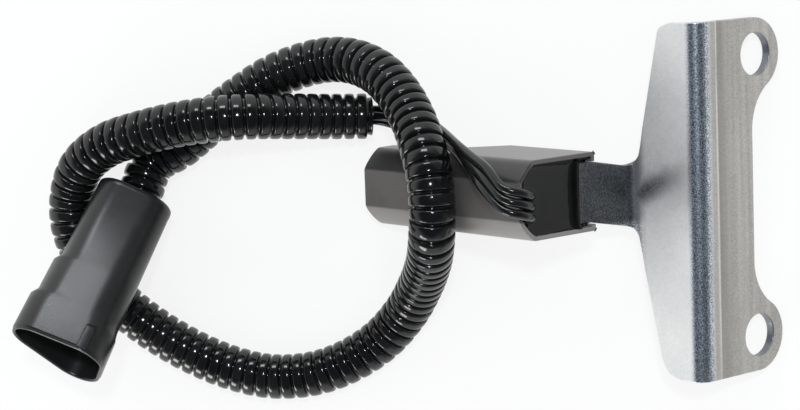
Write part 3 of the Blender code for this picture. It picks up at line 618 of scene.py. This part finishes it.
# sensor shell
def makeShell():
    front, back = -sensor["depth"] / 2, sensor["depth"] / 2
    tip, noseBack = -sensor["length"], sensor["noseDepth"] - sensor["depth"] / 2
    shoulder, half = -sensor["deepLength"], sensor["width"] / 2
    corners = [(0, front, 0), (tip, front, 0), (tip, noseBack, sensor["noseRound"]),
               (shoulder - sensor["shoulderRun"], noseBack, 0), (shoulder, back, 0), (0, back, 0)]
    work = bmesh.new()
    side = outline(work, corners, lambda x, y: (x, y, -half))
    raiseFace(work, side, (0, 0, 2 * half))
    roundEdges(work, sensor["frontRound"], 12, lambda a, b: all(
        abs(v.y - front) < near and abs(abs(v.z) - half) < near for v in (a, b)) and abs(a.x - b.x) > 1,
               sensor["frontProfile"])
    flatEnd = noseBack - sensor["noseRound"]
    roundEdges(work, sensor["tipRound"], 3, lambda a, b: abs(a.x - tip) < near and abs(b.x - tip) < near
               and max(a.y, b.y) < flatEnd + near and min(a.y, b.y) < flatEnd - near)
    # the mouth
    mouth = [face for face in work.faces if all(abs(vert.co.x) < near for vert in face.verts)]
    bmesh.ops.inset_region(work, faces=mouth, thickness=sensor["wall"], use_even_offset=True)
    raiseFace(work, mouth[0], (-sensor["mouthDepth"], 0, 0))
    bmesh.ops.delete(work, geom=[face for face in mouth if face.is_valid], context="FACES_ONLY")
    behind = front + sensor["frontRound"] + 1
    roundEdges(work, sensor["backRound"], 4, lambda a, b: all(
        abs(abs(v.z) - half) < near and v.y > behind for v in (a, b)) and min(a.x, b.x) < -0.5)
    roundEdges(work, sensor["rimRound"], 3, lambda a, b: all(abs(v.x) < near for v in (a, b)))
    # the wall stops short where the strap leaves
    low, high = (plate["strapMiddle"] + sign * (plate["strapHalf"] + gap / 2) for sign in (-1, 1))
    bottom, inner = plate["strapFace"] - plate["sheet"] - gap, back - sensor["wall"] - near
    for place, facing in (((0, 0, low), (0, 0, 1)), ((0, 0, high), (0, 0, 1)), ((bottom, 0, 0), (1, 0, 0))):
        wall = [face for face in work.faces if all(vert.co.y > inner for vert in face.verts)]
        geom = {item for face in wall for item in (face, *face.edges, *face.verts)}
        bmesh.ops.bisect_plane(work, geom=list(geom), dist=0.0001, plane_co=place, plane_no=facing)
    gone = [face for face in work.faces if all(vert.co.y > inner for vert in face.verts)
            and face.calc_center_median().x > bottom and low < face.calc_center_median().z < high]
    bmesh.ops.delete(work, geom=gone, context="FACES")
    loose = {vert for edge in work.edges if edge.is_boundary for vert in edge.verts}
    for axis, place in ((2, low), (2, high), (0, bottom)):
        cheek = [vert for vert in loose if abs(vert.co[axis] - place) < near]
        bmesh.ops.contextual_create(work, geom=cheek)
    piece = addPiece("shell_skin", work, shellBlack, sensorFrame, 32, ("sensor_shell",))
    # the front face meets its two rounded corners in a crisp line
    line = half - sensor["frontRound"]
    inside = sensorFrame.inverted()
    for edge in piece.data.edges:
        ends = [inside @ piece.data.vertices[index].co for index in edge.vertices]
        if all(abs(v.y - front) < 0.1 and abs(abs(v.z) - line) < 0.1 for v in ends):
            edge.use_edge_sharp = True
    weigh = piece.modifiers.new("normals", "WEIGHTED_NORMAL")
    weigh.keep_sharp = True
    return piece


shellPiece = makeShell()
print("shell made", len(shellPiece.data.polygons))

# potting: a poured surface that wets the walls, the strap and the leads
resin = {
    "top": -0.95, "crown": -0.25, "deep": 8.0, "wallWet": 0.62, "wetRun": 0.9, "tuck": 0.02, "grid": (96, 72),
    # at the strap: where its edge lies, the dip beyond it and the collar before it
    "strapEdge": 7.9, "strapBeside": 0.6, "strapDip": 1.35, "dipStart": -0.7, "dipRun": 1.2,
    "collar": 0.6, "collarPlace": -1.3, "collarRun": 1.1, "leadCollar": 0.35, "leadRun": 0.4,
    # a burst bubble: place, then height, radius and width of its rim, and depth and width of its pit
    "bubble": (-9.0, -5.0), "bubbleRim": (0.12, 0.62, 0.2), "bubblePit": (0.3, 0.4),
}


def resinHeight(y, z):
    half = sensor["width"] / 2 - sensor["wall"]
    deep = sensor["depth"] / 2 - sensor["wall"]
    fromWall = min(half - abs(z), deep - abs(y))
    height = resin["top"] + resin["crown"] * (1 - (z / half) ** 2) * (1 - (y / deep) ** 2)
    height += resin["wallWet"] * exp(-fromWall / resin["wetRun"])
    for number in range(3):
        across = lead["middle"] + (1 - number) * lead["pitch"]
        away = max(hypot(y - lead["exit"], z - across) - lead["diameter"] / 2, 0)
        height += resin["leadCollar"] * exp(-away / resin["leadRun"])
    if abs(z - plate["strapMiddle"]) < plate["strapHalf"] + resin["strapBeside"]:
        past = y - resin["strapEdge"]
        share = min(max((past - resin["dipStart"]) / resin["dipRun"], 0), 1)
        share = share * share * (3 - 2 * share)
        height += resin["collar"] * exp(-((past - resin["collarPlace"]) / resin["collarRun"]) ** 2)
        height -= resin["strapDip"] * share
    away = hypot(y - resin["bubble"][0], z - resin["bubble"][1])
    rim, rimRadius, rimWidth = resin["bubbleRim"]
    pit, pitWidth = resin["bubblePit"]
    return height + rim * exp(-((away - rimRadius) / rimWidth) ** 2) - pit * exp(-(away / pitWidth) ** 2)


def makeResin():
    wall = sensor["wall"] + resin["tuck"]
    half, deep = sensor["width"] / 2 - wall, sensor["depth"] / 2 - wall
    corner = sensor["frontRound"] - wall
    work = bmesh.new()
    bmesh.ops.create_grid(work, x_segments=resin["grid"][0], y_segments=resin["grid"][1], size=1.0)
    for vert in work.verts:
        y, z = vert.co.x * deep, vert.co.y * half
        # the two corners at the front face are round
        inY, inZ = -y - (deep - corner), abs(z) - (half - corner)
        if inY > 0 and inZ > 0:
            y = -(deep - corner) - inY * (1 - inZ ** 2 / (2 * corner ** 2)) ** 0.5
            z = (half - corner + inZ * (1 - inY ** 2 / (2 * corner ** 2)) ** 0.5) * (1 if z > 0 else -1)
        vert.co = (resinHeight(y, z), y, z)
    rim = [edge for edge in work.edges if edge.is_boundary]
    grown = bmesh.ops.extrude_edge_only(work, edges=rim)
    for item in grown["geom"]:
        if isinstance(item, bmesh.types.BMVert):
            item.co.x = -resin["deep"]
    bmesh.ops.holes_fill(work, edges=[edge for edge in work.edges if edge.is_boundary])
    return addPiece("potting_pour", work, pottingBlack, sensorFrame, 50, ("potting",))


resinPiece = makeResin()
print("potting made", len(resinPiece.data.polygons))


# bracket: a strap and two flanges folded from one strip
bendLength = (plate["bendRound"] + plate["sheet"] / 2) * pi / 2
ridgeLength = (plate["bendRound"] - plate["sheet"] / 2) * pi / 2


def sheetSection(along):
    # front and back of the sheet, at a length along it from the start of the first bend
    bend, sheet = plate["bendRound"], plate["sheet"]
    valley = Vector((plate["strapFace"] + bend, plate["valleyFace"] - bend))
    ridge = Vector((plate["earFace"] - bend, plate["valleyFace"] + bend))
    if along <= 0:
        front, out = Vector((plate["strapFace"], valley.y + along)), Vector((-1, 0))
    elif along < bendLength:
        out = Vector((-cos(along / bendLength * pi / 2), sin(along / bendLength * pi / 2)))
        front = valley + out * bend
    elif along <= bendLength + ridge.x - valley.x:
        front, out = Vector((valley.x + along - bendLength, plate["valleyFace"])), Vector((0, 1))
    elif along < bendLength + ridge.x - valley.x + ridgeLength:
        angle = (along - bendLength - ridge.x + valley.x) / ridgeLength * pi / 2
        out = Vector((-sin(angle), cos(angle)))
        front = ridge - out * bend
    else:
        past = along - bendLength - ridge.x + valley.x - ridgeLength
        front, out = Vector((plate["earFace"], ridge.y + past)), Vector((-1, 0))
    return front, front + out * sheet


def arcThrough(before, corner, after, radius, steps):
    # points of the arc that rounds a corner
    toBefore, toAfter = ((Vector(other) - corner).normalized() for other in (before, after))
    half = toBefore.angle(toAfter) / 2
    centre = corner + (toBefore + toAfter).normalized() * radius / sin(half)
    first, last = (corner + toward * radius / tan(half) - centre for toward in (toBefore, toAfter))
    sweepAngle = atan2(first.x * last.y - first.y * last.x, first.dot(last))
    return [centre + Matrix.Rotation(sweepAngle * i / steps, 2) @ first for i in range(steps + 1)]


def sheetEdge(side):
    # one long edge of the flat sheet
    half = plate["holeSpacing"] / 2 + plate["earRound"]
    toX = bendLength - plate["strapFace"] - plate["bendRound"]
    rim = sensor["depth"] / 2 - plate["valleyFace"] + plate["bendRound"]
    start, foot = (plate[key] + side * plate["strapHalf"] for key in ("strapMiddle", "strapEndMiddle"))
    slopeStart = Vector((plate["start"] + toX, plate["middle"] + side * plate["startHalf"]))
    slopeEnd = Vector((plate["slopeEnd"] + toX, plate["middle"] + side * plate["endHalf"]))
    slope = (slopeEnd.y - slopeStart.y) / (slopeEnd.x - slopeStart.x)
    strap = (foot - start) / -rim
    meet = (slopeStart.y - slope * slopeStart.x - foot) / (strap - slope)
    corner = plate["lowCorner"] if side < 0 else plate["topCorner"]
    end = plate["middle"] + side * (half + plate["trim"])
    cornerEnd = plate["middle"] + side * (half - plate["cornerDrop"])
    corners = [
        (rim - plate["strapEmbedded"], start, 0), (rim, start, 0),
        (meet, foot + strap * meet, plate["strapFoot"]), (*slopeEnd, plate["corner"]),
        (corner + toX, cornerEnd, plate["corner"]), (corner + plate["cornerRun"] + toX, end, 0),
        (plate["far"], end, 0),
    ]
    points = [Vector(corners[0][:2])]
    for before, here, after in zip(corners, corners[1:], corners[2:]):
        if here[2]:
            points += arcThrough(before[:2], Vector(here[:2]), after[:2], here[2], plate["cornerSteps"])
        else:
            points.append(Vector(here[:2]))
    return points + [Vector(corners[-1][:2])]


def between(points, along):
    for one, two in zip(points, points[1:]):
        if one.x <= along <= two.x:
            return one.y + (two.y - one.y) * (along - one.x) / max(two.x - one.x, 1e-9)
    return points[0].y


def makeBracket():
    low, high = sheetEdge(-1), sheetEdge(1)
    ridgeStart = bendLength + plate["earFace"] - plate["strapFace"] - 2 * plate["bendRound"]
    stops = [point.x for point in low + high if point.x < ridgeStart]
    bend = [i / plate["bendSteps"] for i in range(plate["bendSteps"] + 1)]
    stops += [bendLength * share for share in bend]
    stops += [ridgeStart + ridgeLength * share for share in bend]
    eared = plate["holeRow"] + plate["earRound"] - plate["valleyFace"] - plate["bendRound"]
    stops.append(ridgeStart + ridgeLength + eared)
    kept = []
    for stop in sorted(stops):
        if not kept or stop - kept[-1] > plate["closest"]:
            kept.append(stop)
    work = bmesh.new()
    ring, edges = None, None
    for along in kept:
        front, back = sheetSection(along)
        bottom, top = between(low, along), between(high, along)
        places = [(*front, bottom), (*front, top), (*back, top), (*back, bottom)]
        ring, edges = nextRing(work, ring, edges, places)
    work.faces.new(ring)
    piece = addPiece("bracket_plate", work, zinc, sensorFrame, nodes=("bracket",))

    # two ears round a waist
    half = plate["holeSpacing"] / 2 + plate["earRound"]
    row = plate["holeSpacing"] / 2
    centre = plate["waist"] + plate["waistRound"]
    drop = centre - plate["holeRow"]
    across = ((plate["earRound"] + plate["waistRound"]) ** 2 - drop ** 2) ** 0.5
    meet = atan2(across, drop)
    line = []
    waist, ear = plate["waistRound"], plate["earRound"]
    for turn in (meet * i / plate["waistSteps"] for i in range(plate["waistSteps"])):
        line.append((centre - waist * cos(turn), row - across + waist * sin(turn)))
    for turn in (-meet + (pi / 2 + meet) * i / plate["earSteps"] for i in range(plate["earSteps"] + 1)):
        line.append((plate["holeRow"] + ear * cos(turn), row + ear * sin(turn)))
    line.append((-sensor["depth"], half))
    line += [(y, -z) for y, z in reversed(line)]
    work = bmesh.new()
    corners = [(y, plate["middle"] + z, 0) for y, z in line]
    base = outline(work, corners, lambda y, z: (-sensor["length"], y, z))
    raiseFace(work, base, (sensor["length"] + plate["earFace"] + 1, 0, 0))
    applyCut(piece, cutTool(work, sensorFrame), "INTERSECT")
    for sign in (-1, 1):
        work = bmesh.new()
        radius, place = plate["hole"] / 2, (plate["earFace"], plate["holeRow"], plate["middle"] + sign * row)
        bmesh.ops.create_cone(work, cap_ends=True, segments=64, radius1=radius, radius2=radius, depth=8)
        bmesh.ops.rotate(work, cent=(0, 0, 0), matrix=Matrix.Rotation(pi / 2, 3, "Y"), verts=work.verts)
        bmesh.ops.translate(work, vec=place, verts=work.verts)
        applyCut(piece, cutTool(work, sensorFrame))
    piece.data.shade_smooth()
    piece.data.set_sharp_from_angle(angle=radians(32))
    soften = piece.modifiers.new("edges", "BEVEL")
    soften.width = plate["edgeRound"] * mm
    soften.segments = 3
    soften.limit_method = "ANGLE"
    soften.angle_limit = radians(40)
    soften.use_clamp_overlap = False
    weigh = piece.modifiers.new("normals", "WEIGHTED_NORMAL")
    weigh.keep_sharp = False
    return piece


bracketPiece = makeBracket()
print("bracket made", len(bracketPiece.data.polygons))


# connector
def bandOutline(circles, steps):
    # a band stretched round three circles, (across, up, radius) each
    lean, points = [], []
    for i, (x, z, radius) in enumerate(circles):
        x2, z2, radius2 = circles[(i + 1) % 3]
        taper = asin((radius - radius2) / hypot(x2 - x, z2 - z))
        lean.append(atan2(z2 - z, x2 - x) - pi / 2 - taper)
    for i, (x, z, radius) in enumerate(circles):
        start, end = lean[i - 1], lean[i]
        while end < start:
            end += 2 * pi
        for turn in (start + (end - start) * j / steps for j in range(steps + 1)):
            points.append((x + radius * cos(turn), z + radius * sin(turn)))
    return points


def plugCircles(y, inset):
    share = min(max(y / plug["length"], 0), 1)
    left = sum(plug["leftOut"] * min(max((y - place) / plug["stepRun"], 0), 1) for place in plug["leftSteps"])
    right = plug["rightOut"] * min(max((y - plug["rightStep"]) / plug["stepRun"], 0), 1)
    made = []
    for i, (hood, mouth) in enumerate(zip(plug["hoodCircles"], plug["mouthCircles"])):
        x, z, radius = (a + (b - a) * share for a, b in zip(hood, mouth))
        made.append((x + left if i == 0 else x - right, z, radius - inset))
    return made


def tube(work, stations, steps=14):
    # a ring of edges drawn through (y, inset) stations, closed at both ends
    ring, edges = None, None
    for y, inset in stations:
        places = [(x, y, z) for x, z in bandOutline(plugCircles(y, inset), steps)]
        ring, edges = nextRing(work, ring, edges, places)
    work.faces.new(ring)


def makeConnector():
    length, wall = plug["length"], plug["wall"]
    left, right, stepRun = plug["leftSteps"], plug["rightStep"], plug["stepRun"]
    shared = [left[1], left[1] + stepRun / 2, left[1] + stepRun, right + stepRun / 2, right + stepRun]
    inside = [(length - plug["socketDepth"], wall)] + [(y, wall) for y in sorted(shared)]
    mouth = [(length - back, inset) for back, inset in plug["mouthRim"]]
    outside = sorted([*shared, left[0], left[0] + stepRun / 2, left[0] + stepRun], reverse=True)
    hood = [*reversed(plug["hoodRim"]), (plug["hoodDepth"], wall)]
    work = bmesh.new()
    tube(work, inside + mouth + [(y, 0) for y in outside] + hood)
    # key rib by the mouth, with its ramped end
    topCircle = plug["mouthCircles"][1]
    keyTop = topCircle[1] + topCircle[2] + plug["keyHeight"] - plug["keySunk"]
    keyFront = length - plug["keyFromMouth"]
    keyEnd = keyFront - plug["keyLength"] - plug["keyRamp"]
    rib = block((plug["keyAcross"] - plug["keyWidth"] / 2, keyEnd, keyTop - plug["keyDeep"]),
                (plug["keyAcross"] + plug["keyWidth"] / 2, keyFront, keyTop))
    for vert in rib.verts:
        if vert.co.y < keyEnd + near and vert.co.z > keyTop - near:
            vert.co.y += plug["keyRamp"]
    roundEdges(rib, plug["keyRound"], 3, lambda a, b: abs(a.z - keyTop) < near and abs(b.z - keyTop) < near
               and abs(a.y - b.y) > 1)
    spare = bpy.data.meshes.new("rib")
    rib.to_mesh(spare)
    rib.free()
    work.from_mesh(spare)
    bpy.data.meshes.remove(spare)
    return addPiece("connector_skin", work, connectorBlack, plugFrame, 38,
                    ("connector_body",))


connectorPiece = makeConnector()
dress("terminal_lock", lockBlack)
print("connector made", len(connectorPiece.data.polygons))

carried = [connectorPiece, "terminal_lock"]
carried += [f"{kind}_{number}" for kind in ("contact_pin", "cable_seal") for number in (1, 2, 3)]
conduitLength * mm

# floor, backdrop and light
studio = {
    "floor": 6.0, "matte": (0.86, 0.86, 0.86), "glow": 0.82, "fill": 0.72, "fillColour": (0.97, 0.985, 1),
    # the sky that glossy pieces mirror: overhead and to the right, and where it turns from one to the other
    "zenith": (0.045, 0.055, 0.075), "right": (0.30, 0.30, 0.29), "zenithEdge": (0.22, 0.70),
    "rightEdge": (0.2, 0.8), "aim": (-0.03, 0, 0.02),
    # place in metres, size, power in watts, colour
    "lamps": [
        ((0.12, 0.36, 1.10), (0.075, 0.075), 4.2, (0.90, 0.95, 1.0)),
        ((-0.75, -1.05, 0.35), (0.60, 0.35), 6.0, (1.0, 0.98, 0.95)),
        ((-0.15, 1.25, 0.64), (0.60, 0.25), 5.0, (0.92, 0.96, 1.0)),
    ],
}


def rayKinds(look):
    # camera, glossy and transmission rays
    ray = look.node("ShaderNodeLightPath").socket.node
    return [Value(look, ray.outputs[f"Is {kind} Ray"]) for kind in ("Camera", "Glossy", "Transmission")]


def makeFloor():
    work = bmesh.new()
    bmesh.ops.create_grid(work, x_segments=1, y_segments=1, size=studio["floor"] / 2)
    mesh = bpy.data.meshes.new("floor")
    work.to_mesh(mesh)
    work.free()
    look = Look("floor")
    camera, glossy, through = rayKinds(look)
    seen = (camera + glossy + through).ease(0, 1)
    matte = look.node("ShaderNodeBsdfDiffuse", None, {"Color": (*studio["matte"], 1)})
    glow = look.node("ShaderNodeEmission", None, {"Color": (1, 1, 1, 1), "Strength": 1.0})
    both = look.node("ShaderNodeMixShader", None, {0: seen * studio["glow"], 1: matte, 2: glow})
    look.node("ShaderNodeOutputMaterial", None, {"Surface": both})
    mesh.materials.append(look.block)
    floor = bpy.data.objects.new("floor", mesh)
    bpy.context.scene.collection.objects.link(floor)


def makeSky():
    world = bpy.data.worlds.new("studio")
    bpy.context.scene.world = world
    look = Look("studio", world)
    direction = look.node("ShaderNodeTexCoord", output="Generated")
    toRight, height = (look.node("ShaderNodeSeparateXYZ", None, {0: direction}, axis) for axis in (0, 2))
    camera, glossy, through = rayKinds(look)
    shine = look.mix(toRight.ease(*studio["rightEdge"]), (1, 1, 1, 1), (*studio["right"], 1))
    shine = look.mix(height.ease(*studio["zenithEdge"]), shine, (*studio["zenith"], 1))
    backgrounds = []
    for colour, strength in (((*studio["fillColour"], 1), studio["fill"]), (shine, 1.0), ((1, 1, 1, 1), 1.0)):
        backgrounds.append(look.node("ShaderNodeBackground", None, {"Color": colour, "Strength": strength}))
    fill, mirrored, white = backgrounds
    both = look.node("ShaderNodeMixShader", None, {0: (glossy + through).ease(0, 1), 1: fill, 2: mirrored})
    both = look.node("ShaderNodeMixShader", None, {0: camera, 1: both, 2: white})
    look.node("ShaderNodeOutputWorld", None, {"Surface": both})


def makeLamps():
    for number, (place, size, power, colour) in enumerate(studio["lamps"], 1):
        lamp = bpy.data.lights.new(f"softbox_{number}", "AREA")
        lamp.shape = "RECTANGLE"
        lamp.size, lamp.size_y = size
        lamp.energy = power
        lamp.color = colour
        holder = bpy.data.objects.new(lamp.name, lamp)
        holder.location = place
        holder.rotation_euler = (Vector(place) - Vector(studio["aim"])).to_track_quat("Z", "Y").to_euler()
        bpy.context.scene.collection.objects.link(holder)


makeFloor()
makeSky()
makeLamps()
bpy.context.scene.view_settings.view_transform = "Standard"
print("studio ready")
